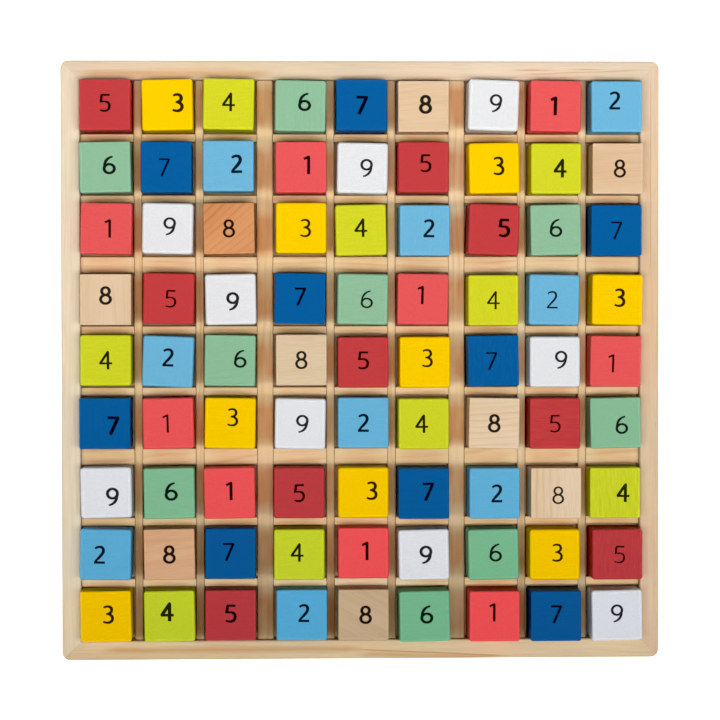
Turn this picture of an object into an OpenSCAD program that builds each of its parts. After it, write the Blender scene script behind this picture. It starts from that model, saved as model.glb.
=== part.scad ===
// Wooden sudoku board: a mitred tray, a grid of cross-lapped slats and 81 loose number cubes.
// Millimetres. +Z is up, +X runs along a row, +Y points to the first row.
// The origin is under the middle of the tray, on the surface that it stands on.

/* [Cubes] */
// Edge length of a number cube
cube_size = 25; // [18:0.5:40]
// Flat taken off every edge of a cube
cube_chamfer = 0.8; // [0.3:0.1:2]

/* [Cells] */
// Play of a cube across its cell, both sides together
cell_play = 1.4; // [0.6:0.1:3]
// Least gap that stays between a cube and the walls of its cell
wall_gap = 0.1; // [0.05:0.05:0.2]

/* [Slats] */
// Thickness of a slat between two cells of one block
thin_slat = 4; // [3:0.5:8]
// Thickness of a slat between two blocks of nine cells
thick_slat = 8; // [4:0.5:14]
// Height of the slats above the base panel
slat_height = 9; // [6:0.5:16]
// Flat taken off the top edges of a slat
slat_chamfer = 0.6; // [0.2:0.1:1.2]
// Play in a cross-lap, on each side of the slat that passes through
lap_play = 0.1; // [0.05:0.05:0.3]
// Gap between the end of a slat and the rail that it meets
slat_end_gap = 0.1; // [0.05:0.05:0.5]

/* [Tray] */
// Width of a rail, seen from above
rail_width = 9.5; // [7:0.5:18]
// How far the rails stand above the slats
rail_rise = 5; // [1:0.5:10]
// Radius along the top edges of a rail
rail_round = 1; // [0.4:0.1:2]
// Radius of the tray's upright corners
corner_radius = 4; // [1:0.5:8]
// Height of the rails below the base panel
foot_height = 3; // [2:0.5:8]
// Thickness of the base panel
panel_thickness = 3; // [2:0.5:6]
// Depth of the groove that holds the base panel
groove_depth = 4; // [2:0.5:5]
// Play of the base panel in its groove, above it and at its edge
groove_play = 0.15; // [0.05:0.05:0.4]

/* [Hidden] */
$fn = 48;
grid_cells = 9;
block_cells = 3;
cut_margin = 1;

// The finished puzzle, first row first
PUZZLE = [
    "534678912",
    "672195348",
    "198342567",
    "859761423",
    "426853791",
    "713924856",
    "961537284",
    "287419635",
    "345286179"
];

// How each cube lies in its cell: c turned clockwise, a anticlockwise, capitals further, a dot straight
TURNS = [
    ".acc..Cc.",
    "a...c.a..",
    "cca.a.Ca.",
    ".caccc.cc",
    ".Cc...a.c",
    ".acc..c.a",
    "aaa......",
    "ca...aa..",
    "aa...a..a"
];

// Which way each cube has slid in its cell, as on a number pad: 5 is central, 8 towards the first row
SLIDES = [
    "557352632",
    "547635333",
    "987913332",
    "596864213",
    "858933521",
    "455262321",
    "864462331",
    "798492223",
    "798993333"
];

// Cube colours of the numbers one to nine
COLOURS = [
    "#ea5859", "#70b9dc", "#fed102", "#d7da2a", "#c83e40", "#92c19d", "#065ea0", "#e3c5a1", "#eaebee"
];
rail_colour = "#ecd8be";
slat_colour = "#dcc19a";
panel_colour = "#d2b48c";

slat_count = grid_cells - 1;
thick_count = grid_cells / block_cells - 1;
thin_count = slat_count - thick_count;
cell_size = cube_size + cell_play;
inner_size = grid_cells * cell_size + thin_count * thin_slat + thick_count * thick_slat;
outer_size = inner_size + 2 * rail_width;
panel_size = inner_size + 2 * (groove_depth - groove_play);
panel_top = foot_height + panel_thickness;
rail_height = panel_top + slat_height + rail_rise;
lap_height = slat_height / 2;
slat_length = inner_size - 2 * slat_end_gap;

// The furthest that a cube can turn before its corners meet the walls of the cell
cube_half = cube_size / 2;
edge_half = cube_half - cube_chamfer;
cell_reach = cell_size / 2 - wall_gap;
corner_reach = norm([cube_half, edge_half]);
turn_limit = atan2(edge_half, cube_half) - acos(min(1, cell_reach / corner_reach));
little_turn = turn_limit / 3;
large_turn = 2 * little_turn;

RAILS = ["rail_front", "rail_right", "rail_back", "rail_left"];
cells = [1:grid_cells];
slats = [1:slat_count];

function slat_thickness(k) = k % block_cells == 0 ? thick_slat : thin_slat;

// Middle of cell i, measured from the middle of the grid
function cell_centre(i) =
    let(thick_before = floor((i - 1) / block_cells), thin_before = i - 1 - thick_before)
    (i - 0.5) * cell_size + thin_before * thin_slat + thick_before * thick_slat - inner_size / 2;

function slat_centre(k) = cell_centre(k) + (cell_size + slat_thickness(k)) / 2;

function digit(row, column) = ord(PUZZLE[row - 1][column - 1]) - ord("0");

// Turn of a cube, anticlockwise from above
function cube_turn(row, column) =
    let(sign = TURNS[row - 1][column - 1])
    sign == "a" ? little_turn
    : sign == "A" ? large_turn
    : sign == "c" ? -little_turn
    : sign == "C" ? -large_turn
    : 0;

// Slide of a cube from the middle of its cell, as far as its turn leaves room
function cube_slide(row, column) =
    let(
        key = ord(SLIDES[row - 1][column - 1]) - ord("1"),
        turn = abs(cube_turn(row, column)),
        room = cell_reach - cube_half * cos(turn) - edge_half * sin(turn)
    )
    room * [key % 3 - 1, floor(key / 3) - 1];

// The three blocks on the diagonal hold cubes that lift one by one, the others lift as sets
function lifts_alone(row, column) =
    floor((row - 1) / block_cells) == floor((column - 1) / block_cells);

function cube_name(row, column) = str("cube_r", row, "_c", column);

// What a rounding takes off a square corner at the origin that opens to +X and +Y
module corner_waste(radius) {
    difference() {
        translate([-cut_margin, -cut_margin]) square(radius + cut_margin);
        translate([radius, radius]) circle(radius);
    }
}

// Section of a rail: outer face at x = 0, underside at y = 0
module rail_section() {
    difference() {
        square([rail_width, rail_height]);
        translate([rail_width - groove_depth, foot_height])
            square([groove_depth + cut_margin, panel_thickness + groove_play]);
        translate([0, rail_height]) mirror([0, 1]) corner_waste(rail_round);
        translate([rail_width, rail_height]) rotate(180) corner_waste(rail_round);
    }
}

// Plan of the front rail: mitred ends and half of each rounded corner
module rail_plan() {
    outer = outer_size / 2;
    inner = inner_size / 2;
    difference() {
        polygon([[-outer, -outer], [outer, -outer], [inner, -inner], [-inner, -inner]]);
        translate([-outer, -outer]) corner_waste(corner_radius);
        translate([outer, -outer]) mirror([1, 0]) corner_waste(corner_radius);
    }
}

// One rail: the front one, turned by quarter turns to its side of the tray
module rail(quarter) {
    color(rail_colour)
        rotate(90 * quarter)
            intersection() {
                translate([-outer_size / 2, -outer_size / 2, 0])
                    rotate([90, 0, 90]) linear_extrude(outer_size) rail_section();
                linear_extrude(rail_height) rail_plan();
            }
}

// Panel that closes the tray, held in the grooves of the rails
module base_panel() {
    color(panel_colour)
        translate([-panel_size / 2, -panel_size / 2, foot_height])
            cube([panel_size, panel_size, panel_thickness]);
}

// Plain slat along X on the base panel, with eased top edges
module slat_bar(thickness) {
    half = thickness / 2;
    translate([-slat_length / 2, 0, panel_top])
        rotate([90, 0, 90])
            linear_extrude(slat_length)
                polygon([
                    [-half, 0],
                    [half, 0],
                    [half, slat_height - slat_chamfer],
                    [half - slat_chamfer, slat_height],
                    [slat_chamfer - half, slat_height],
                    [-half, slat_height - slat_chamfer]
                ]);
}

// Cross-lap slots of a slat along X, from height low to height high above the base panel
module lap_slots(thickness, low, high) {
    for (k = slats) {
        width = slat_thickness(k) + 2 * lap_play;
        depth = thickness + 2 * cut_margin;
        translate([slat_centre(k) - width / 2, -depth / 2, panel_top + low])
            cube([width, depth, high - low]);
    }
}

// Slat between two rows, notched from above
module row_slat(k) {
    color(slat_colour)
        translate([0, -slat_centre(k), 0])
            difference() {
                slat_bar(slat_thickness(k));
                lap_slots(slat_thickness(k), lap_height, slat_height + cut_margin);
            }
}

// Slat between two columns, notched from below
module column_slat(k) {
    color(slat_colour)
        translate([slat_centre(k), 0, 0])
            rotate(90)
                difference() {
                    slat_bar(slat_thickness(k));
                    lap_slots(slat_thickness(k), -cut_margin, lap_height + lap_play);
                }
}

// Square bar through the origin along Z, with its four long edges cut off
module eased_bar() {
    linear_extrude(cube_size, center = true)
        polygon([
            [-edge_half, -cube_half],
            [edge_half, -cube_half],
            [cube_half, -edge_half],
            [cube_half, edge_half],
            [edge_half, cube_half],
            [-edge_half, cube_half],
            [-cube_half, edge_half],
            [-cube_half, -edge_half]
        ]);
}

// Number cube of one cell, standing on the base panel as it was dropped in
module number_cube(row, column) {
    slide = cube_slide(row, column);
    color(COLOURS[digit(row, column) - 1])
        translate([cell_centre(column) + slide[0], slide[1] - cell_centre(row), panel_top + cube_half])
            rotate(cube_turn(row, column))
                intersection() {
                    eased_bar();
                    rotate([90, 0, 0]) eased_bar();
                    rotate([0, 90, 0]) eased_bar();
                }
}

// The cubes of one number in the six blocks off the diagonal
module cube_set(number) {
    for (row = cells)
        for (column = cells)
            if (digit(row, column) == number && !lifts_alone(row, column))
                number_cube(row, column);
}

for (quarter = [0:3])
    rail(quarter);
base_panel();
for (k = slats)
    column_slat(k);
for (k = slats)
    row_slat(k);
for (row = cells)
    for (column = cells)
        if (lifts_alone(row, column))
            number_cube(row, column);
for (number = cells)
    cube_set(number);
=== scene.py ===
"""Looks of the wooden sudoku board: eased rails and slats, a plywood panel and 81 printed cubes.

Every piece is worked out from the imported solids. Shapes are built in millimetres and stored in metres.
"""

import math
import random
from itertools import product

import bmesh
import bpy
from mathutils import Matrix, Vector
from mathutils.geometry import delaunay_2d_cdt


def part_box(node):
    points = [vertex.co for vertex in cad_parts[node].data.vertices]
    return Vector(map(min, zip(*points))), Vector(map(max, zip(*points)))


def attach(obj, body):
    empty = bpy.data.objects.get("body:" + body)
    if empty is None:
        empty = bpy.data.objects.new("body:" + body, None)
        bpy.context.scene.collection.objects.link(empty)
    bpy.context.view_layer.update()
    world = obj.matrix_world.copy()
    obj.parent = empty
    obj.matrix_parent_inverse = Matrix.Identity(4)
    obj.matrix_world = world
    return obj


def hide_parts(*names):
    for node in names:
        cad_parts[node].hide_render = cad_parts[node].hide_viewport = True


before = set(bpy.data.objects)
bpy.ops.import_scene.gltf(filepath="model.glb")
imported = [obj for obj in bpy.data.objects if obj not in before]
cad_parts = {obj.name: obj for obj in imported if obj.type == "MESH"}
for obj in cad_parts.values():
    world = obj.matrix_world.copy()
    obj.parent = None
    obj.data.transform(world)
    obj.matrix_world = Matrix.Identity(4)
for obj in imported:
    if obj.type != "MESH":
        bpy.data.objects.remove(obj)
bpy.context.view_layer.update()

MM = 0.001
AXES = {"X": Vector((1, 0, 0)), "Y": Vector((0, 1, 0)), "Z": Vector((0, 0, 1))}

# Places closer than this touch, in millimetres, and the digits that are kept to tell points apart
TOUCH = 0.001
WELD_DIGITS = 4
CORNER_DIGITS = 5

# Camera, in millimetres and degrees
CAMERA_PLACE = Vector((-45, 28, 1300))
CAMERA_TARGET = Vector((-0.6, 0.3, 20))
CAMERA_LENS = 129.2
CAMERA_ROLL = -0.08

# The finished puzzle, first row first
PUZZLE = [
    "534678912",
    "672195348",
    "198342567",
    "859761423",
    "426853791",
    "713924856",
    "961537284",
    "287419635",
    "345286179",
]

# Where each number is printed on its cube from left to right, in millimetres, with 4 at the cube's middle
PRINT_RIGHT = [
    "494645533",
    "638765665",
    "554646944",
    "455463435",
    "449445372",
    "835543447",
    "754486558",
    "143355555",
    "534555344",
]

# Where each number is printed from the front to the back of its cube, in the same way
PRINT_UP = [
    "555645547",
    "545546544",
    "454455554",
    "643546445",
    "465456453",
    "347444443",
    "255455434",
    "445554554",
    "565545655",
]
PRINT_CENTRE = 4

# Weight of each print from light to bold, the stroke widths in millimetres, and the most degrees of tilt
PRINT_WEIGHT = [
    "242344243",
    "314322332",
    "222223421",
    "313212113",
    "232222121",
    "412232312",
    "333233313",
    "332233221",
    "343333222",
]
STROKE_WIDTH = {"1": 0.95, "2": 1.15, "3": 1.35, "4": 1.55, "5": 1.85}
PRINT_TILT = 1

# Shares of a stroke's width: in level strokes, in upright ones, and at the free ends of curves,
# which narrow over a few points
LEVEL_SHARE = 0.88
UPRIGHT_SHARE = 1.12
TIP_SHARE = 0.75
TIP_POINTS = 4

# Sides of the rounds at a stroke's bends, and how a face with outlines is filled: only inside the
# outlines, with points closer than this in millimetres made one
CAP_SIDES = 14
FILL_INSIDE = 1
FILL_MERGE = 1e-4

# How the fibres lie in each painted cube: h along the row, v across it, e end grain on top.
# They show more where the letter is a capital. Dots stand for the bare cubes.
FIBRES = [
    "hehve.ehe",
    "ehheheve.",
    "he.ehvehe",
    ".eheheveh",
    "heh.hhVeh",
    "vehehe.He",
    "ehehehh.V",
    "h.ehehehV",
    "hehh.hehe",
]
FIBRE_AXES = {"h": "X", "v": "Y", "e": "Z"}
HIDDEN_FIBRES = 0.4
PLAIN_FIBRES = 1.1

# Bare cube of each row: tone from pale to orange, degrees of its fibres from the row,
# how much its rings show, and greyness
BARE_CUBES = [
    (0.2, 2, 0.35, 0.1),
    (0.25, 0, 0.3, 0.1),
    (0.95, 38, 1.2, 0),
    (0.14, 90, 0.5, 0),
    (0.06, 0, 0.05, 0.3),
    (0, 3, 0.9, 0),
    (0, 88, 1.2, 0),
    (0.55, 2, 0.5, 0),
    (0.3, -30, 0.5, 0.85),
]

# Prints with patchy ink: row, column and how much of the ink took
PATCHY_PRINTS = {
    (1, 8): 0.72,
    (3, 9): 0.7,
    (5, 7): 0.72,
    (6, 9): 0.74,
    (7, 9): 0.7,
    (8, 9): 0.62,
    (9, 8): 0.7,
    (9, 9): 0.74,
}
FULL_INK = 1.0

# Slot, pale and deep shade, and edge radius of the cubes of each number, one to nine. On painted cubes the
# deep shade is painted shade: the same paint as it looks in the dim last rows. On bare cubes it is orange
# wood.
CUBE_FINISHES = [
    ("cube_coral", "#ea5e5f", "#fb5b5f", 1.1),
    ("cube_sky_blue", "#73badf", "#5eb5e4", 1.2),
    ("cube_yellow", "#fed10c", "#ffcf0a", 1.4),
    ("cube_lime", "#d7da31", "#ccdc39", 1.2),
    ("cube_dark_red", "#c84648", "#be464b", 1.2),
    ("cube_mint", "#93c2a0", "#7ec299", 1.2),
    ("cube_dark_blue", "#1c63a4", "#21609f", 1.0),
    ("cube_natural", "#f0dabd", "#e2a06c", 0.7),
    ("cube_white", "#e9ebef", "#e8edf6", 1.6),
]

# The number that is left bare, warm and line colours of its pale and deep cubes, and the tint of grey ones
BARE_NUMBER = 8
BARE_WARM = ("#e9d0ae", "#d68c58")
BARE_LINE = ("#d9b084", "#b8703f")
BARE_GREY = (0.77, 0.83, 0.81, 1)

# How much painted shade deepens the paint in each row, standing in for the light falling off towards the
# last rows, and how far single cubes stray from that and from their edge radius
ROW_SHADE = [0, 0, 0, 0, 0.15, 0.3, 0.55, 0.8, 1]
DEPTH_SPREAD = 0.12
RADIUS_SPREAD = 0.25
EDGE_STEPS = 4

# Ink where it is thick and where it is worn, how much it covers, how softly its patches end, and the waves
# per millimetre of those patches
INK_COLOUR = "#0c0b0e"
WORN_INK_COLOUR = "#151418"
INK_COVER = 0.97
INK_FADE = 0.07
INK_WAVES = (1.1, 2.6, 2.6)
INK_DETAIL = 3.0

# Pale, warm and line colour of each rail, front, right, back and left
RAIL_COLOURS = [
    ("#ecd5b0", "#e2c8a2", "#b98a58"),
    ("#ead1b6", "#e2c4a2", "#c99a66"),
    ("#ebdac4", "#e4ceb0", "#c99a66"),
    ("#f2e3cc", "#ecdcc0", "#d0a878"),
]

# Coloured streaks of the rails: the length that their ends fade over and how far they wander, in
# millimetres, and the waves of that per millimetre
STREAK_COLOUR = "#c98c4a"
STREAK_END = 9
STREAK_WOBBLE = 0.8
STREAK_WAVES = (0.04, 0, 0)

# Where each rail's streaks start and end, along it and in from its outer edge, with half width and strength
RAIL_STREAKS = [
    [
        ((-130, 5.0), (2, 5.0), 2.3, 0.55),
        ((-6, 5.0), (75, 1.0), 0.6, 0.75),
        ((-4, 2.8), (70, 0.4), 1.9, 0.5),
    ],
    [
        ((38, 4.3), (142, 4.3), 0.5, 0.45),
        ((38, 6.8), (142, 6.8), 2.6, 0.14),
    ],
    [
        # Painted shade: a warm band along the back rail's inner edge, where the cubes shade it and tint it
        ((-142, 8.0), (142, 8.0), 3.2, 0.2),
        ((42, 6.3), (140, 6.3), 2.6, 0.5),
        ((58, 3.8), (107, 3.8), 1.3, 0.25),
        ((-142, 4.4), (-78, 6.7), 0.55, 0.5),
        ((-96, 4.5), (-74, 4.5), 0.6, 0.7),
        ((-123, 4.1), (-101, 4.1), 0.5, 0.6),
    ],
    [],
]

# Pale, warm and line colour of the slats, and the tint of painted shade that darkens and warms them
# between the crossings, where the cubes shade them: how much of it thin and thick slats have, and where it
# starts and is full from a crossing
SLAT_COLOURS = ("#f4e2bf", "#e8c89b", "#c4894f")
SLAT_SHADE = (0.84, 0.6, 0.48, 1)
SLAT_SHADE_SHARES = {"X": (0.3, 0.25), "Y": (0.7, 0.9)}
THICK_LEAST = 6
SHADE_START = 3.5
SHADE_FULL = 9
SHADE_WAVES = (0.03, 0.1, 0.1)
SHADE_PATCHES = (0.5, 1.5)

# Where the column slats start to darken towards the front rail, where that ends, and how dark they get
FRONT_START = -40
FRONT_END = -125
FRONT_LEVEL = 0.65

# Pale, warm and line colour of the panel, and where its middle lies from the pith, in millimetres
PANEL_COLOURS = ("#e8d0aa", "#dcbd90", "#b98a58")
PANEL_PITH = (0, 30, -160)

# Spacing of the growth rings in millimetres, and how much they show
RAIL_RINGS = (3.4, 0.16)
SLAT_RINGS = (2.8, 0.45)
PANEL_RINGS = (5.5, 0.45)
CUBE_RINGS = (3.2, 0.55)

# Nearest and farthest that the pith can be, in millimetres, and the most degrees that the fibres slope.
# Pieces are cut from anywhere along a log.
RAIL_CUT = (25, 60, 1.2)
SLAT_CUT = (18, 50, 1.6)
BARE_CUBE_CUT = (14, 40, 3)
CUBE_CUT = (14, 40, 6)
LOG_LENGTH = 900

# Range that most of a noise lies in, for soft and for firmer patches, and its middle
SOFT_RANGE = (0.3, 0.7)
FIRM_RANGE = (0.35, 0.65)
NOISE_MIDDLE = 0.5

# Patterns of wood, in waves per millimetre along and across the fibres
RING_WAVES = (0.012, 0.03, 0.03)
TONE_WAVES = (0.008, 0.07, 0.07)
FADE_WAVES = (0.02, 0.12, 0.12)
FIBRE_WAVES = (0.05, 2.4, 2.4)
FIBRE_DETAIL = 3.0
FLECK_WAVES = (0.22, 3.2, 3.2)

# How far rings stray in millimetres, and how dark they are from one to the next
RING_BEND = (0, 9, 9)
RING_STOPS = [(0.0, 0.1), (0.5, 0.2), (0.86, 1.0), (1.0, 0.1)]

# Peaks of the noise that become flecks, how much they show and how deep they are
FLECK_RANGE = (0.6, 0.72)
FLECK_SHOWS = 0.12
FLECK_DEPTH = 0.5

# How dark and light the fibres make bare wood, its roughness from low to high fibres, and the strength of
# its relief with its depth in millimetres
FIBRE_LEVELS = (0.93, 1.05)
WOOD_HEIGHTS = (0.2, 0.8)
WOOD_ROUGHNESS = (0.62, 0.46)
WOOD_RELIEF = (0.35, 0.12)

# Eased edges and joints, in millimetres
CORNER_RADIUS = 4
CORNER_LEAD = 1
RAIL_TOP_RADIUS = 1.2
RAIL_FOOT_RADIUS = 0.5
MITRE_GAP = 0.05
CORNER_STEPS = 8
ARC_STEPS = 5
GROOVE_DEPTH = 4
GROOVE_PLAY = 0.15
SLAT_EASE = 0.8
SLAT_EASE_STEPS = 3
ROUND_PROFILE = 0.5
LAP_PLAY = 0.1
SHARP_ANGLE = math.radians(50)

# Overall brightness that the albedos are chosen for
LIGHT_LEVEL = 1.2

# Oval softbox over the board, in metres, degrees and watts: it is long along the rows and favours the first
SOFTBOX_PLACE = Vector((0.05, -0.14, 1.4))
SOFTBOX_TARGET = Vector((0.05, 0.45, 0))
SOFTBOX_SIZE = (2.0, 0.42)
SOFTBOX_SPREAD = 95
SOFTBOX_POWER = 10.95
SOFTBOX_COLOUR = (1.0, 0.985, 0.965)
ROOM_COLOUR = (1.0, 0.97, 0.93, 1)
ROOM_STRENGTH = 0.05

# Floor of white paper, with a glow as if lit from below, so that the board casts hardly any shadow on it.
# Its waves are per metre, and its reach is in metres.
PAPER_DULL = (0.95, 0.95, 0.95, 1)
PAPER_BRIGHT = (0.97, 0.97, 0.97, 1)
PAPER_WAVES = (6, 6, 6)
PAPER_ROUGHNESS = 0.9
PAPER_GLOW = 0.9
FLOOR_REACH = 3

# Gloss of paint and of wood
PAINT_GLOSS = 0.1
WOOD_GLOSS = 0.15

# Patterns of paint: its fibres and its clouds in waves per millimetre, and how much the clouds count
PAINT_FIBRE_WAVES = (0.08, 2.2, 2.2)
PAINT_CLOUD_WAVES = (0.9, 0.9, 0.9)
PAINT_CLOUD_DETAIL = 4.0
PAINT_CLOUD_ROUGHNESS = 0.6
PAINT_CLOUD = 0.35

# How dark and light that pattern makes the paint, how much a painted highlight lightens it along the edges,
# how rough it is, and the strength of its relief with its depth in millimetres
PAINT_RANGE = (0.1, 0.9)
PAINT_LEVELS = (0.8, 1.2)
EDGE_HIGHLIGHT = 0.08
PAINT_ROUGHNESS = (0.44, 0.58)
PAINT_RELIEF = (0.3, 0.08)

# What counts as black in the picture, as in a photograph with full contrast
BLACK_LEVEL = 0.01


def linear(colour, level=1.0):
    """Linear colour of an sRGB hex code, divided by a light level, with full alpha."""
    channels = [int(colour[i:i + 2], 16) / 255 for i in (1, 3, 5)]
    straight = [((c + 0.055) / 1.055) ** 2.4 if c > 0.04045 else c / 12.92 for c in channels]
    return (*(c / level for c in straight), 1)


class Surface:
    """A material, and short calls that add nodes to it."""

    # Sockets of a mix node that take and give colours, which share their names with others
    MIX_FACTOR, MIX_A, MIX_B, MIX_RESULT = 0, 6, 7, 2

    def __init__(self, name, gloss):
        self.material = bpy.data.materials.new(name)
        self.material.use_nodes = True
        self.tree = self.material.node_tree
        self.shader = self.tree.nodes["Principled BSDF"]
        self.shader.inputs["Specular IOR Level"].default_value = gloss

    def feed(self, socket, value):
        """Links a socket to another node's output, or sets its own value."""
        if isinstance(value, bpy.types.NodeSocket):
            self.tree.links.new(value, socket)
        else:
            socket.default_value = value

    def add(self, kind, inputs=None, **settings):
        """New node with some of its settings, and its inputs by name or number."""
        node = self.tree.nodes.new(kind)
        for name, value in settings.items():
            setattr(node, name, value)
        for key, value in (inputs or {}).items():
            self.feed(node.inputs[key], value)
        return node

    def attribute(self, name, output="Fac"):
        """Value that a mesh stores under a name."""
        return self.add("ShaderNodeAttribute", attribute_name=name).outputs[output]

    def vector(self, operation, *values):
        """Result of a calculation with vectors."""
        node = self.add("ShaderNodeVectorMath", dict(enumerate(values)), operation=operation)
        return node.outputs["Value" if operation == "LENGTH" else "Vector"]

    def scaled(self, colour, factor):
        """Colour times a single factor."""
        inputs = {"Vector": colour, "Scale": factor}
        return self.add("ShaderNodeVectorMath", inputs, operation="SCALE").outputs["Vector"]

    def math(self, operation, *values):
        """Result of a calculation with single values."""
        return self.add("ShaderNodeMath", dict(enumerate(values)), operation=operation).outputs["Value"]

    def noise(self, vector, waves, detail=2.0, roughness=0.5, output="Fac"):
        """Noise with its own number of waves along each axis of the coordinates."""
        stretched = self.vector("MULTIPLY", vector, waves)
        inputs = {"Vector": stretched, "Scale": 1.0, "Detail": detail, "Roughness": roughness}
        return self.add("ShaderNodeTexNoise", inputs).outputs[output]

    def spread(self, value, low, high, to_low=0.0, to_high=1.0):
        """Value stretched from low..high to another range, and held within it."""
        inputs = {"Value": value, "From Min": low, "From Max": high, "To Min": to_low, "To Max": to_high}
        return self.add("ShaderNodeMapRange", inputs).outputs["Result"]

    def mix(self, factor, a, b, mode="MIX"):
        """Two colours mixed, or one changed by the other."""
        inputs = {self.MIX_FACTOR: factor, self.MIX_A: a, self.MIX_B: b}
        node = self.add("ShaderNodeMix", inputs, data_type="RGBA", blend_type=mode)
        return node.outputs[self.MIX_RESULT]

    def curve(self, value, stops):
        """Grey ramp through stops of position and height."""
        node = self.add("ShaderNodeValToRGB", {"Fac": value})
        elements = node.color_ramp.elements
        while len(elements) < len(stops):
            elements.new(1.0)
        for element, (position, height) in zip(elements, stops):
            element.position = position
            element.color = (height, height, height, 1)
        return node.outputs["Color"]

    def relief(self, height, strength, depth):
        """Bump of a height pattern, depth in millimetres."""
        inputs = {"Strength": strength, "Distance": depth * MM, "Height": height}
        self.feed(self.shader.inputs["Normal"], self.add("ShaderNodeBump", inputs).outputs["Normal"])


def growth_rings(surface, grain, spacing):
    """Growth rings round the pith: a slow rise to the dark late wood, then a quick fall."""
    drift = surface.noise(grain, RING_WAVES, output="Color")
    bend = surface.vector("MULTIPLY", surface.vector("SUBTRACT", drift, (NOISE_MIDDLE,) * 3), RING_BEND)
    section = surface.vector("MULTIPLY", surface.vector("ADD", grain, bend), (0, 1, 1))
    ring = surface.math("FRACT", surface.math("DIVIDE", surface.vector("LENGTH", section), spacing))
    return surface.curve(ring, RING_STOPS)


def wood_pattern(surface, grain, pale, warm, line, spacing, rings_show):
    """Colour of bare wood, and the height of its fibres."""
    tone = surface.spread(surface.noise(grain, TONE_WAVES), *SOFT_RANGE)
    rings = growth_rings(surface, grain, spacing)
    fade = surface.spread(surface.noise(grain, FADE_WAVES), *FIRM_RANGE)
    fibres = surface.noise(grain, FIBRE_WAVES, FIBRE_DETAIL)
    flecks = surface.spread(surface.noise(grain, FLECK_WAVES), *FLECK_RANGE)
    base = surface.mix(tone, pale, warm)
    ring_share = surface.math("MULTIPLY", rings, surface.math("MULTIPLY", fade, rings_show))
    ringed = surface.mix(ring_share, base, line)
    flecked = surface.mix(surface.math("MULTIPLY", flecks, FLECK_SHOWS), ringed, line)
    colour = surface.scaled(flecked, surface.spread(fibres, *SOFT_RANGE, *FIBRE_LEVELS))
    return colour, surface.math("SUBTRACT", fibres, surface.math("MULTIPLY", flecks, FLECK_DEPTH))


def finish_wood(surface, colour, height):
    """Colour, satin sheen and fine relief of sanded wood."""
    surface.feed(surface.shader.inputs["Base Color"], colour)
    surface.feed(surface.shader.inputs["Roughness"], surface.spread(height, *WOOD_HEIGHTS, *WOOD_ROUGHNESS))
    surface.relief(height, *WOOD_RELIEF)
    return surface.material


def streak_strength(surface, along, inset, streak):
    """How much of a coloured streak shows at each place on a rail."""
    (start, start_inset), (end, end_inset), half_width, strength = streak
    slope = (end_inset - start_inset) / (end - start)
    course = surface.math("MULTIPLY_ADD", along, slope, start_inset - slope * start)
    drift = surface.noise(surface.attribute("place", "Vector"), STREAK_WAVES)
    wobble = surface.math("MULTIPLY", surface.math("SUBTRACT", drift, NOISE_MIDDLE), STREAK_WOBBLE)
    aside = surface.math("ABSOLUTE", surface.math("SUBTRACT", inset, surface.math("ADD", course, wobble)))
    across = surface.spread(aside, 0, half_width, strength, 0)
    begins = surface.spread(along, start, start + STREAK_END)
    ends = surface.spread(along, end - STREAK_END, end, 1, 0)
    return surface.math("MULTIPLY", across, surface.math("MINIMUM", begins, ends))


def rail_wood(name, colours, streaks):
    """Pale softwood of one rail, with its own coloured streaks, one of them painted shade on the back rail.
    """
    surface = Surface(name, WOOD_GLOSS)
    shades = [linear(code, LIGHT_LEVEL) for code in colours]
    colour, height = wood_pattern(surface, surface.attribute("grain", "Vector"), *shades, *RAIL_RINGS)
    place = surface.add("ShaderNodeSeparateXYZ", {"Vector": surface.attribute("place", "Vector")})
    for streak in streaks:
        shows = streak_strength(surface, place.outputs["X"], place.outputs["Y"], streak)
        colour = surface.mix(shows, colour, linear(STREAK_COLOUR, LIGHT_LEVEL))
    return finish_wood(surface, colour, height)


def slat_wood(first_crossing, crossing_pitch):
    """Softwood of the slats, with painted shade between the crossings, darker and more orange next to the
    cubes.
    """
    surface = Surface("slat_wood", WOOD_GLOSS)
    grain = surface.attribute("grain", "Vector")
    shades = [linear(code, LIGHT_LEVEL) for code in SLAT_COLOURS]
    base = surface.mix(surface.attribute("tone"), *shades[:2])
    colour, height = wood_pattern(surface, grain, base, *shades[1:], *SLAT_RINGS)
    # Painted shade: darker and more orange between the crossings, where the cubes shade the slats
    along = surface.math("ABSOLUTE", surface.attribute("along"))
    from_first = surface.math("SUBTRACT", along, first_crossing)
    aside = surface.math("PINGPONG", from_first, crossing_pitch / 2)
    patches = surface.spread(surface.noise(grain, SHADE_WAVES), *FIRM_RANGE, *SHADE_PATCHES)
    between = surface.math("MULTIPLY", surface.spread(aside, SHADE_START, SHADE_FULL), patches)
    painted_shade = surface.math("MULTIPLY", between, surface.attribute("painted_shade"))
    shaded = surface.mix(painted_shade, colour, SLAT_SHADE, "MULTIPLY")
    front = surface.spread(surface.attribute("front"), FRONT_START, FRONT_END, 1, FRONT_LEVEL)
    return finish_wood(surface, surface.scaled(shaded, front), height)


def panel_wood():
    """Veneer of the base panel, with its grain along the rows."""
    surface = Surface("panel_wood", WOOD_GLOSS)
    coordinates = surface.add("ShaderNodeTexCoord").outputs["Object"]
    grain = surface.vector("ADD", surface.vector("MULTIPLY", coordinates, (1 / MM,) * 3), PANEL_PITH)
    shades = [linear(code, LIGHT_LEVEL) for code in PANEL_COLOURS]
    return finish_wood(surface, *wood_pattern(surface, grain, *shades, *PANEL_RINGS))


def printed(surface, colour):
    """Colour with the ink of the printed number on it."""
    ink = surface.attribute("ink")
    patches = surface.noise(surface.attribute("grain", "Vector"), INK_WAVES, INK_DETAIL)
    cover = surface.spread(surface.math("SUBTRACT", ink, patches), -INK_FADE, INK_FADE, 0, INK_COVER)
    shade = surface.mix(patches, linear(INK_COLOUR), linear(WORN_INK_COLOUR))
    return surface.mix(cover, colour, shade)


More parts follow.
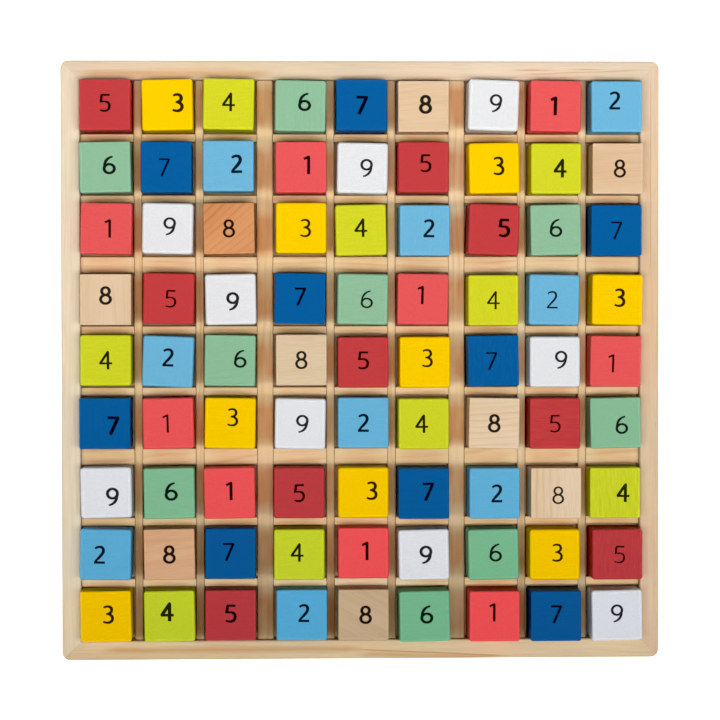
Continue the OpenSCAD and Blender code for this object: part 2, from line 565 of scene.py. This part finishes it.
def bare_cube_wood(name, pale, deep):
    """Unpainted cube: wood from pale to orange, as each cube's tone says."""
    surface = Surface(name, WOOD_GLOSS)
    tone = surface.attribute("tone")
    shades = []
    for first, last in ((pale, deep), BARE_WARM, BARE_LINE):
        shades.append(surface.mix(tone, linear(first, LIGHT_LEVEL), linear(last, LIGHT_LEVEL)))
    spacing, most = CUBE_RINGS
    shows = surface.math("MULTIPLY", surface.attribute("relief"), most)
    colour, height = wood_pattern(surface, surface.attribute("grain", "Vector"), *shades, spacing, shows)
    greyed = surface.mix(surface.attribute("grey"), colour, BARE_GREY, "MULTIPLY")
    # Painted highlight along the rounded edges
    edge = surface.math("MULTIPLY_ADD", surface.attribute("rim"), EDGE_HIGHLIGHT, 1)
    return finish_wood(surface, printed(surface, surface.scaled(greyed, edge)), height)


def cube_paint(name, pale, deep):
    """Satin paint showing the fibres, painted shade in the last rows, and a painted highlight along the
    edges.
    """
    surface = Surface(name, PAINT_GLOSS)
    grain = surface.attribute("grain", "Vector")
    # Lit paint mixed with its deep copy by tone: painted shade by row, plus random tone
    shade = surface.mix(surface.attribute("tone"), linear(pale, LIGHT_LEVEL), linear(deep, LIGHT_LEVEL))
    fibres = surface.noise(grain, PAINT_FIBRE_WAVES, FIBRE_DETAIL)
    clouds = surface.noise(grain, PAINT_CLOUD_WAVES, PAINT_CLOUD_DETAIL, PAINT_CLOUD_ROUGHNESS)
    shows = surface.attribute("relief")
    streaks = surface.math("MULTIPLY", surface.math("SUBTRACT", fibres, NOISE_MIDDLE), shows)
    patches = surface.math("MULTIPLY", surface.math("SUBTRACT", clouds, NOISE_MIDDLE), PAINT_CLOUD)
    pattern = surface.math("ADD", surface.math("ADD", streaks, patches), NOISE_MIDDLE)
    # Painted highlight along the rounded edges
    rim_highlight = surface.math("MULTIPLY", surface.attribute("rim"), EDGE_HIGHLIGHT)
    level = surface.math("ADD", surface.spread(pattern, *PAINT_RANGE, *PAINT_LEVELS), rim_highlight)
    surface.feed(surface.shader.inputs["Base Color"], printed(surface, surface.scaled(shade, level)))
    surface.feed(surface.shader.inputs["Roughness"], surface.spread(clouds, *SOFT_RANGE, *PAINT_ROUGHNESS))
    surface.relief(pattern, *PAINT_RELIEF)
    return surface.material


def floor_material():
    """Pale matt paper, hardly mottled."""
    surface = Surface("studio_paper", WOOD_GLOSS)
    place = surface.add("ShaderNodeTexCoord").outputs["Object"]
    cloud = surface.noise(place, PAPER_WAVES)
    surface.feed(surface.shader.inputs["Base Color"], surface.mix(cloud, PAPER_DULL, PAPER_BRIGHT))
    surface.shader.inputs["Roughness"].default_value = PAPER_ROUGHNESS
    surface.shader.inputs["Emission Color"].default_value = PAPER_BRIGHT
    surface.shader.inputs["Emission Strength"].default_value = PAPER_GLOW
    return surface.material


def grain_frame(name, along, pith_near, pith_far, slope):
    """Matrix from a piece's millimetres to its wood: x along the fibres, with the pith at y = z = 0."""
    dice = random.Random(name)
    turn = along.rotation_difference(AXES["X"]).to_matrix().to_4x4()
    lean = Matrix.Rotation(math.radians(dice.uniform(-slope, slope)), 4, "Y")
    lean = Matrix.Rotation(math.radians(dice.uniform(-slope, slope)), 4, "Z") @ lean
    pith = dice.uniform(pith_near, pith_far)
    angle = dice.uniform(0, math.tau)
    place = Vector((dice.uniform(0, LOG_LENGTH), pith * math.cos(angle), pith * math.sin(angle)))
    return Matrix.Translation(place) @ lean @ turn


def set_values(mesh, name, kind, domain, values):
    """Stores one value, or one vector, for each point or face of a mesh."""
    layer = mesh.attributes.new(name, kind, domain)
    if kind == "FLOAT_VECTOR":
        layer.data.foreach_set("vector", [x for value in values for x in value])
    else:
        layer.data.foreach_set("value", values)


def new_piece(node, points, faces, material):
    """Object for a node, from points in millimetres."""
    mesh = bpy.data.meshes.new(node)
    mesh.from_pydata([Vector(p) * MM for p in points], [], faces)
    mesh.materials.append(material)
    piece = bpy.data.objects.new("dressed_" + node, mesh)
    bpy.context.scene.collection.objects.link(piece)
    return piece


def dress(piece, node, body):
    """The piece stands for its node and moves with its body."""
    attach(piece, body)
    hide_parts(node)


def soften(piece):
    """Smooth shading that keeps flat faces flat beside their eased edges."""
    piece.data.shade_smooth()
    piece.data.set_sharp_from_angle(angle=SHARP_ANGLE)
    weighted = piece.modifiers.new("even_normals", "WEIGHTED_NORMAL")
    weighted.keep_sharp = True


def box_mm(node):
    """Low and high corner of a node's box, in millimetres."""
    low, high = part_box(node)
    return low / MM, high / MM


def arc(centre, radius, start, end, steps):
    """Points on an arc, angles in degrees."""
    angles = [math.radians(start + (end - start) * i / steps) for i in range(steps + 1)]
    return [(centre[0] + radius * math.cos(a), centre[1] + radius * math.sin(a)) for a in angles]


def rail_profile(width, height, groove_low, groove_high):
    """Section of a rail: inset from its outer face, and height."""
    top, foot = RAIL_TOP_RADIUS, RAIL_FOOT_RADIUS
    groove = width - GROOVE_DEPTH
    return [
        *arc((width - foot, foot), foot, 0, -90, ARC_STEPS),
        *arc((foot, foot), foot, -90, -180, ARC_STEPS),
        *arc((top, height - top), top, 180, 90, ARC_STEPS),
        *arc((width - top, height - top), top, 90, 0, ARC_STEPS),
        (width, groove_high),
        (groove, groove_high),
        (groove, groove_low),
        (width, groove_low),
    ]


def rail_stations(outer, width, inset):
    """Plan of one line along the front rail at an inset, from its left mitre to its right one."""
    radius = CORNER_RADIUS - inset
    pivot = outer - CORNER_RADIUS
    straight = outer - width - CORNER_LEAD
    half = [(straight, inset - outer)]
    for i in range(CORNER_STEPS + 1):
        share = i / CORNER_STEPS
        if radius > 0:
            angle = math.radians(45 * share)
            half.append((pivot + radius * math.sin(angle), -pivot - radius * math.cos(angle)))
        else:
            reach = outer - inset - straight
            half.append((straight + reach * (i + 1) / (CORNER_STEPS + 1), inset - outer))
    x, y = half[-1]
    half[-1] = (x - MITRE_GAP / 2, y)
    return [(-x, y) for x, y in reversed(half)] + half


def build_rail(node, quarter, material):
    """One rail, built as the front one and turned to its side of the tray."""
    low, high = box_mm("rail_front")
    panel_low, panel_high = box_mm("base_panel")
    outer, width = -low.y, high.y - low.y
    profile = rail_profile(width, high.z, panel_low.z, panel_high.z + GROOVE_PLAY)
    lines = [[Vector((x, y, z)) for x, y in rail_stations(outer, width, inset)] for inset, z in profile]
    turn = Matrix.Rotation(math.radians(90 * quarter), 4, "Z")
    points = [turn @ p for line in lines for p in line]
    count, stations = len(lines), len(lines[0])
    faces = []
    for j in range(count):
        here, there = j * stations, (j + 1) % count * stations
        faces += [(here + i, here + i + 1, there + i + 1, there + i) for i in range(stations - 1)]
    faces.append([j * stations for j in range(count)])
    faces.append([j * stations + stations - 1 for j in reversed(range(count))])
    piece = new_piece(node, points, faces, material)
    wood = grain_frame(node, AXES["XY"[quarter % 2]], *RAIL_CUT)
    set_values(piece.data, "grain", "FLOAT_VECTOR", "POINT", [wood @ p for p in points])
    places = [p + Vector((0, outer, 0)) for line in lines for p in line]
    set_values(piece.data, "place", "FLOAT_VECTOR", "POINT", places)
    soften(piece)
    dress(piece, node, "tray")


def slat_outline(length, low, high, lap, crossings, from_above):
    """Side view of a slat along its length, notched where the other slats cross it."""
    notches = []
    for start, end in crossings:
        edge = high if from_above else low
        notches.append([(start, edge), (start, lap), (end, lap), (end, edge)])
    cuts = [point for notch in notches for point in notch]
    if from_above:
        return [(length[0], low), (length[1], low), (length[1], high), *reversed(cuts), (length[0], high)]
    return [(length[0], low), *cuts, (length[1], low), (length[1], high), (length[0], high)]


def eased_slab(outline, low, high, u, w):
    """Points and faces of a side view along axis u, made solid along axis w, with eased top edges."""
    form = bmesh.new()
    near = []
    for length, height in outline:
        point = Vector((0, 0, height))
        point[u], point[w] = length, low[w]
        near.append(form.verts.new(point))
    side = form.faces.new(near)
    moved = bmesh.ops.extrude_face_region(form, geom=[side])["geom"]
    across = Vector((0, 0, 0))
    across[w] = high[w] - low[w]
    bmesh.ops.translate(form, vec=across, verts=[g for g in moved if isinstance(g, bmesh.types.BMVert)])
    top_edges = []
    for edge in form.edges:
        a, b = (v.co for v in edge.verts)
        if min(a.z, b.z) > high.z - TOUCH and abs(a[w] - b[w]) < TOUCH:
            top_edges.append(edge)
    bmesh.ops.bevel(
        form,
        geom=top_edges,
        offset=SLAT_EASE,
        segments=SLAT_EASE_STEPS,
        profile=ROUND_PROFILE,
        affect="EDGES",
    )
    bmesh.ops.recalc_face_normals(form, faces=form.faces)
    form.verts.index_update()
    points = [v.co.copy() for v in form.verts]
    faces = [[v.index for v in face.verts] for face in form.faces]
    form.free()
    return points, faces


def build_slat(node, along, crossing_nodes, material):
    """One slat with eased top edges and its cross-lap notches."""
    low, high = box_mm(node)
    u, w = (0, 1) if along == "X" else (1, 0)
    middle = (low.z + high.z) / 2
    crossings = []
    for other in crossing_nodes:
        other_low, other_high = box_mm(other)
        crossings.append((other_low[u] - LAP_PLAY, other_high[u] + LAP_PLAY))
    crossings.sort()
    from_above = along == "X"
    lap = middle if from_above else middle + LAP_PLAY
    outline = slat_outline((low[u], high[u]), low.z, high.z, lap, crossings, from_above)
    points, faces = eased_slab(outline, low, high, u, w)
    piece = new_piece(node, points, faces, material)
    wood = grain_frame(node, AXES[along], *SLAT_CUT)
    set_values(piece.data, "grain", "FLOAT_VECTOR", "POINT", [wood @ p for p in points])
    set_values(piece.data, "along", "FLOAT", "POINT", [p[u] for p in points])
    tone = random.Random("tone " + node).random()
    set_values(piece.data, "tone", "FLOAT", "POINT", [tone] * len(points))
    # How much painted shade this slat gets between the crossings
    painted_shade = SLAT_SHADE_SHARES[along][high[w] - low[w] > THICK_LEAST]
    set_values(piece.data, "painted_shade", "FLOAT", "POINT", [painted_shade] * len(points))
    set_values(piece.data, "front", "FLOAT", "POINT", [p.y if along == "Y" else 0 for p in points])
    soften(piece)
    dress(piece, node, "tray")


def bow(a, b, c, d, steps=10):
    """Points on a curve from a to d that b and c pull towards themselves."""
    points = []
    for i in range(steps + 1):
        t = i / steps
        s = 1 - t
        weights = (s ** 3, 3 * s * s * t, 3 * s * t * t, t ** 3)
        points.append(tuple(sum(k * p[n] for k, p in zip(weights, (a, b, c, d))) for n in (0, 1)))
    return points


def loop(centre, across, up, steps=24):
    """Closed oval."""
    angles = [math.tau * i / steps for i in range(steps + 1)]
    return [(centre[0] + across * math.cos(a), centre[1] + up * math.sin(a)) for a in angles]


def joined(first, second):
    """One stroke out of two that meet at a point."""
    return first + second[1:]


# Middle lines of the numbers' strokes, in millimetres from the middle of the number
STROKES = {
    1: [[(-1.6, 3.0), (0.75, 4.05), (0.75, -4.45)]],
    2: [
        joined(
            bow((-2.15, 2.95), (-1.3, 4.1), (1.9, 4.6), (1.9, 2.05)),
            bow((1.9, 2.05), (1.9, 0.2), (-0.75, -1.6), (-2.25, -3.75)),
        ),
        [(-2.65, -3.85), (2.7, -3.85)],
    ],
    3: [
        joined(
            bow((-2.0, 3.4), (-0.65, 4.35), (1.9, 4.3), (1.9, 2.2)),
            bow((1.9, 2.2), (1.9, 0.9), (0.75, 0.3), (-0.8, 0.3)),
        ),
        joined(
            bow((-0.84, 0.27), (0.95, 0.3), (2.25, -0.5), (2.25, -1.9)),
            bow((2.25, -1.9), (2.25, -4.4), (-0.95, -4.4), (-2.3, -3.4)),
        ),
    ],
    4: [[(1.05, -4.45), (1.05, 4.1), (-2.75, -1.45), (3.1, -1.45)]],
    5: [
        [(2.35, 3.85), (-1.55, 3.85), (-1.95, 0.1)],
        joined(
            bow((-1.9, 0.45), (0.45, 0.95), (2.25, 0.35), (2.25, -1.5)),
            bow((2.25, -1.5), (2.25, -4.4), (-0.95, -4.35), (-2.35, -3.45)),
        ),
    ],
    6: [bow((1.85, 4.05), (-0.85, 3.7), (-2.5, 1.5), (-2.46, -1.6)), loop((0, -1.8), 2.5, 2.18)],
    7: [[(-2.6, 3.85), (2.4, 3.85), (-1.25, -4.45)]],
    8: [loop((0, 2.1), 1.9, 1.85), loop((0, -1.88), 2.4, 2.1)],
    9: [loop((0, 1.6), 2.45, 2.35), bow((2.41, 1.4), (2.45, -1.3), (0.9, -3.8), (-1.8, -4.05))],
}


def half_widths(points, width, closed):
    """Half the width of each stretch of a stroke: more in upright ones, less at the tips of curves."""
    halves = []
    stretches = len(points) - 1
    curved = stretches > 2 * TIP_POINTS and not closed
    for i, (start, end) in enumerate(zip(points, points[1:])):
        rise = abs((end - start).normalized().y)
        share = LEVEL_SHARE + (UPRIGHT_SHARE - LEVEL_SHARE) * rise
        if curved:
            share *= min(1, TIP_SHARE + (1 - TIP_SHARE) * min(i, stretches - 1 - i) / TIP_POINTS)
        halves.append(width / 2 * share)
    return halves


def ribbon(stroke, width):
    """Convex outlines that together cover a stroke: a strip for each stretch and a round at each bend."""
    points = [Vector(p) for p in stroke]
    closed = (points[0] - points[-1]).length < TOUCH
    halves = half_widths(points, width, closed)
    outlines = []
    for start, end, half in zip(points, points[1:], halves):
        side = (end - start).normalized().orthogonal() * half
        outlines.append([start - side, end - side, end + side, start + side])
    spokes = [math.tau * i / CAP_SIDES for i in range(CAP_SIDES)]
    for i in range(0 if closed else 1, len(halves)):
        half = min(halves[i], halves[i - 1])
        outlines.append([points[i] + half * Vector((math.cos(a), math.sin(a))) for a in spokes])
    return outlines


def rounded_cube(half, radius):
    """Cube with rounded edges and an open top.

    Returns points, normals, faces, which faces are round, and the corners of the open top.
    """
    core = half - radius
    ticks = [core + radius * math.tan(math.radians(45 * i / EDGE_STEPS)) for i in range(EDGE_STEPS + 1)]
    ticks = [-t for t in reversed(ticks)] + ticks
    points, normals, faces, rims = [], [], [], []
    known = {}

    def corner(axis, side, i, j):
        raw = [0, 0, 0]
        raw[axis], raw[(axis + 1) % 3], raw[(axis + 2) % 3] = side * half, ticks[i], ticks[j]
        inside = Vector(max(-core, min(core, c)) for c in raw)
        normal = (Vector(raw) - inside).normalized()
        point = inside + normal * radius
        key = tuple(round(c, WELD_DIGITS) for c in point)
        if key not in known:
            known[key] = len(points)
            points.append(point)
            normals.append(normal)
        return known[key]

    gaps = range(len(ticks) - 1)
    for axis, side, i, j in product(range(3), (-1, 1), gaps, gaps):
        square = [corner(axis, side, i + a, j + b) for a, b in ((0, 0), (1, 0), (1, 1), (0, 1))]
        flat = i == EDGE_STEPS and j == EDGE_STEPS
        if flat and axis == 2 and side == 1:
            top = square
            continue
        faces.append(square if side > 0 else square[::-1])
        rims.append(0.0 if flat else 1.0)
    return points, normals, faces, rims, top


def printed_face(corners, outlines):
    """Triangles of a flat face with outlines printed on it.

    Returns points, triangles, which given points each point stands for, and which triangles take ink.
    """
    flat = [Vector(c[:2]) for c in corners]
    shapes = [list(range(len(flat)))]
    for outline in outlines:
        shapes.append(list(range(len(flat), len(flat) + len(outline))))
        flat += outline
    filled = delaunay_2d_cdt(flat, [], shapes, FILL_INSIDE, FILL_MERGE)
    points, _, triangles, sources, _, origins = filled
    return points, triangles, sources, [max(origin) > 0 for origin in origins]


def cell_index(value, walls):
    """Which gap between walls a place lies in. Walls are pairs of low and high faces in rising order."""
    return sum(value > high for _, high in walls) - 1


def cube_places(node, column_walls, row_walls):
    """Row, column, middle and turn of each cube in a node, from the corners of the flat tops."""
    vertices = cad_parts[node].data.vertices
    corners = {tuple(round(c, CORNER_DIGITS) for c in v.co / MM) for v in vertices}
    top = max(c[2] for c in corners)
    tops = {}
    for x, y, z in sorted(corners):
        if z > top - TOUCH:
            column = cell_index(x, column_walls) + 1
            row = len(row_walls) - 1 - cell_index(y, row_walls)
            tops.setdefault((row, column), []).append(Vector((x, y)))
    places = []
    for (row, column), found in sorted(tops.items()):
        middle = sum(found, Vector((0, 0))) / len(found)
        arm = found[0] - middle
        turn = (math.degrees(math.atan2(arm.y, arm.x)) % 90) - 45
        places.append((row, column, middle, math.radians(turn)))
    return places


def cube_print(row, column, number):
    """Outlines of the number that is printed on a cube's top, from the middle of the top."""
    right = int(PRINT_RIGHT[row - 1][column - 1]) - PRINT_CENTRE
    up = int(PRINT_UP[row - 1][column - 1]) - PRINT_CENTRE
    tilt = random.Random(f"print {row} {column}").uniform(-PRINT_TILT, PRINT_TILT)
    turn = Matrix.Rotation(math.radians(tilt), 2)
    width = STROKE_WIDTH[PRINT_WEIGHT[row - 1][column - 1]]
    outlines = [outline for stroke in STROKES[number] for outline in ribbon(stroke, width)]
    return [[turn @ p + Vector((right, up)) for p in outline] for outline in outlines]


def cube_wood(row, column, number):
    """Grain matrix of a cube, how much its fibres or rings show, its tone and its greyness."""
    name = f"cube {row} {column}"
    if number == BARE_NUMBER:
        tone, degrees, shows, grey = BARE_CUBES[row - 1]
        along = Matrix.Rotation(math.radians(degrees), 3, "Z") @ AXES["X"]
        return grain_frame(name, along, *BARE_CUBE_CUT), shows, tone, grey
    code = FIBRES[row - 1][column - 1]
    along = AXES[FIBRE_AXES[code.lower()]]
    shows = PLAIN_FIBRES if code.isupper() else HIDDEN_FIBRES
    # Tone of a painted cube: painted shade for its row, with a random spread from cube to cube
    tone = ROW_SHADE[row - 1] + random.Random("depth " + name).uniform(-DEPTH_SPREAD, DEPTH_SPREAD)
    return grain_frame(name, along, *CUBE_CUT), shows, tone, 0


def printed_cube(size, row, column, number):
    """Rounded cube with its number printed on top.

    Returns points, normals, faces, which faces are round, and how much ink each face takes.
    """
    stray = random.Random(f"shape {row} {column}").uniform(-RADIUS_SPREAD, RADIUS_SPREAD)
    radius = CUBE_FINISHES[number - 1][-1] + stray
    points, normals, faces, rims, top = rounded_cube(size / 2, radius)
    corners = [points[k] for k in top]
    top_points, triangles, sources, inked = printed_face(corners, cube_print(row, column, number))
    index = {}
    for k, source in enumerate(sources):
        corner = [s for s in source if s < len(top)]
        if corner:
            index[k] = top[corner[0]]
        else:
            index[k] = len(points)
            points.append(Vector((*top_points[k], corners[0].z)))
            normals.append(AXES["Z"])
    strength = PATCHY_PRINTS.get((row, column), FULL_INK)
    ink = [0.0] * len(faces) + [strength if takes else 0.0 for takes in inked]
    rims += [0.0] * len(triangles)
    faces += [[index[k] for k in triangle] for triangle in triangles]
    return points, normals, faces, rims, ink


def build_cubes(node, size, column_walls, row_walls, materials):
    """The cubes of one node, which all have the same number, as one piece."""
    points, normals, faces = [], [], []
    grain, tones, greys = [], [], []
    ink, rims, reliefs = [], [], []
    low, high = box_mm(node)
    for row, column, middle, turn in cube_places(node, column_walls, row_walls):
        number = int(PUZZLE[row - 1][column - 1])
        block, block_normals, block_faces, block_rims, block_ink = printed_cube(size, row, column, number)
        wood, shows, tone, grey = cube_wood(row, column, number)
        start = len(points)
        rotate = Matrix.Rotation(turn, 3, "Z")
        place = Vector((*middle, (low.z + high.z) / 2))
        points += [place + rotate @ p for p in block]
        normals += [rotate @ n for n in block_normals]
        faces += [[start + k for k in face] for face in block_faces]
        grain += [wood @ p for p in block]
        tones += [tone] * len(block)
        greys += [grey] * len(block)
        ink += block_ink
        rims += block_rims
        reliefs += [shows] * len(block_faces)
    piece = new_piece(node, points, faces, materials[number])
    mesh = piece.data
    set_values(mesh, "grain", "FLOAT_VECTOR", "POINT", grain)
    set_values(mesh, "tone", "FLOAT", "POINT", tones)
    set_values(mesh, "grey", "FLOAT", "POINT", greys)
    set_values(mesh, "ink", "FLOAT", "FACE", ink)
    set_values(mesh, "rim", "FLOAT", "FACE", rims)
    set_values(mesh, "relief", "FLOAT", "FACE", reliefs)
    mesh.shade_smooth()
    mesh.normals_split_custom_set_from_vertices(normals)
    dress(piece, node, node)


def build_softbox():
    """Oval softbox that faces its target and isn't seen itself."""
    data = bpy.data.lights.new("softbox", "AREA")
    data.shape = "ELLIPSE"
    data.size, data.size_y = SOFTBOX_SIZE
    data.spread = math.radians(SOFTBOX_SPREAD)
    data.energy = SOFTBOX_POWER
    data.color = SOFTBOX_COLOUR
    lamp = bpy.data.objects.new("softbox", data)
    lamp.location = SOFTBOX_PLACE
    lamp.rotation_euler = (SOFTBOX_TARGET - SOFTBOX_PLACE).to_track_quat("-Z", "Y").to_euler()
    lamp.visible_camera = False
    lamp.visible_glossy = False
    bpy.context.scene.collection.objects.link(lamp)


def build_floor():
    """Square of paper that the board stands on."""
    corners = [(x * FLOOR_REACH, y * FLOOR_REACH, 0) for x, y in ((-1, -1), (1, -1), (1, 1), (-1, 1))]
    mesh = bpy.data.meshes.new("studio_floor")
    mesh.from_pydata(corners, [], [(0, 1, 2, 3)])
    mesh.materials.append(floor_material())
    floor = bpy.data.objects.new("studio_floor", mesh)
    bpy.context.scene.collection.objects.link(floor)


def build_camera():
    """Camera above the board."""
    data = bpy.data.cameras.new("photo_camera")
    data.lens = CAMERA_LENS
    camera = bpy.data.objects.new("photo_camera", data)
    back = (CAMERA_PLACE - CAMERA_TARGET).normalized()
    right = AXES["Y"].cross(back).normalized()
    facing = Matrix((right, back.cross(right), back)).transposed().to_4x4()
    roll = Matrix.Rotation(math.radians(CAMERA_ROLL), 4, "Z")
    camera.matrix_world = Matrix.Translation(CAMERA_PLACE * MM) @ facing @ roll
    bpy.context.scene.collection.objects.link(camera)
    bpy.context.scene.camera = camera


def build_studio():
    """Floor, lights, plain colours and the camera."""
    picture = bpy.context.scene.view_settings
    picture.view_transform = "Standard"
    picture.use_curve_mapping = True
    picture.curve_mapping.black_level = (BLACK_LEVEL,) * 3
    picture.curve_mapping.update()
    build_floor()

    world = bpy.data.worlds.new("studio")
    world.use_nodes = True
    background = world.node_tree.nodes["Background"]
    background.inputs["Color"].default_value = ROOM_COLOUR
    background.inputs["Strength"].default_value = ROOM_STRENGTH
    bpy.context.scene.world = world
    build_softbox()
    build_camera()


def wall_faces(nodes, axis):
    """Low and high face of each node along an axis, in rising order."""
    boxes = [box_mm(node) for node in nodes]
    return sorted((low[axis], high[axis]) for low, high in boxes)


def build_board():
    """Every piece of the board."""
    for quarter, node in enumerate(("rail_front", "rail_right", "rail_back", "rail_left")):
        build_rail(node, quarter, rail_wood(node + "_wood", RAIL_COLOURS[quarter], RAIL_STREAKS[quarter]))
    column_slats = sorted(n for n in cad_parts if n.startswith("column_slat"))
    row_slats = sorted(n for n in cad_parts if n.startswith("row_slat"))
    crossings = sorted(sum(box_mm(n), Vector()).x / 2 for n in column_slats)
    crossings = [place for place in crossings if place > 0]
    pitch = (crossings[-1] - crossings[0]) / (len(crossings) - 1)
    slat_material = slat_wood(crossings[0], pitch)
    for node in column_slats:
        build_slat(node, "Y", row_slats, slat_material)
    for node in row_slats:
        build_slat(node, "X", column_slats, slat_material)
    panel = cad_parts["base_panel"]
    panel.data.materials.clear()
    panel.data.materials.append(panel_wood())

    materials = {}
    for number, (slot, pale, deep, _) in enumerate(CUBE_FINISHES, 1):
        finish = bare_cube_wood if number == BARE_NUMBER else cube_paint
        materials[number] = finish(slot, pale, deep)
    column_walls = wall_faces(("rail_left", *column_slats, "rail_right"), 0)
    row_walls = wall_faces(("rail_front", *row_slats, "rail_back"), 1)
    cubes = sorted(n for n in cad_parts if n.startswith("cube"))
    single_low, single_high = box_mm(cubes[0])
    for node in cubes:
        build_cubes(node, single_high.z - single_low.z, column_walls, row_walls, materials)


build_board()
build_studio()
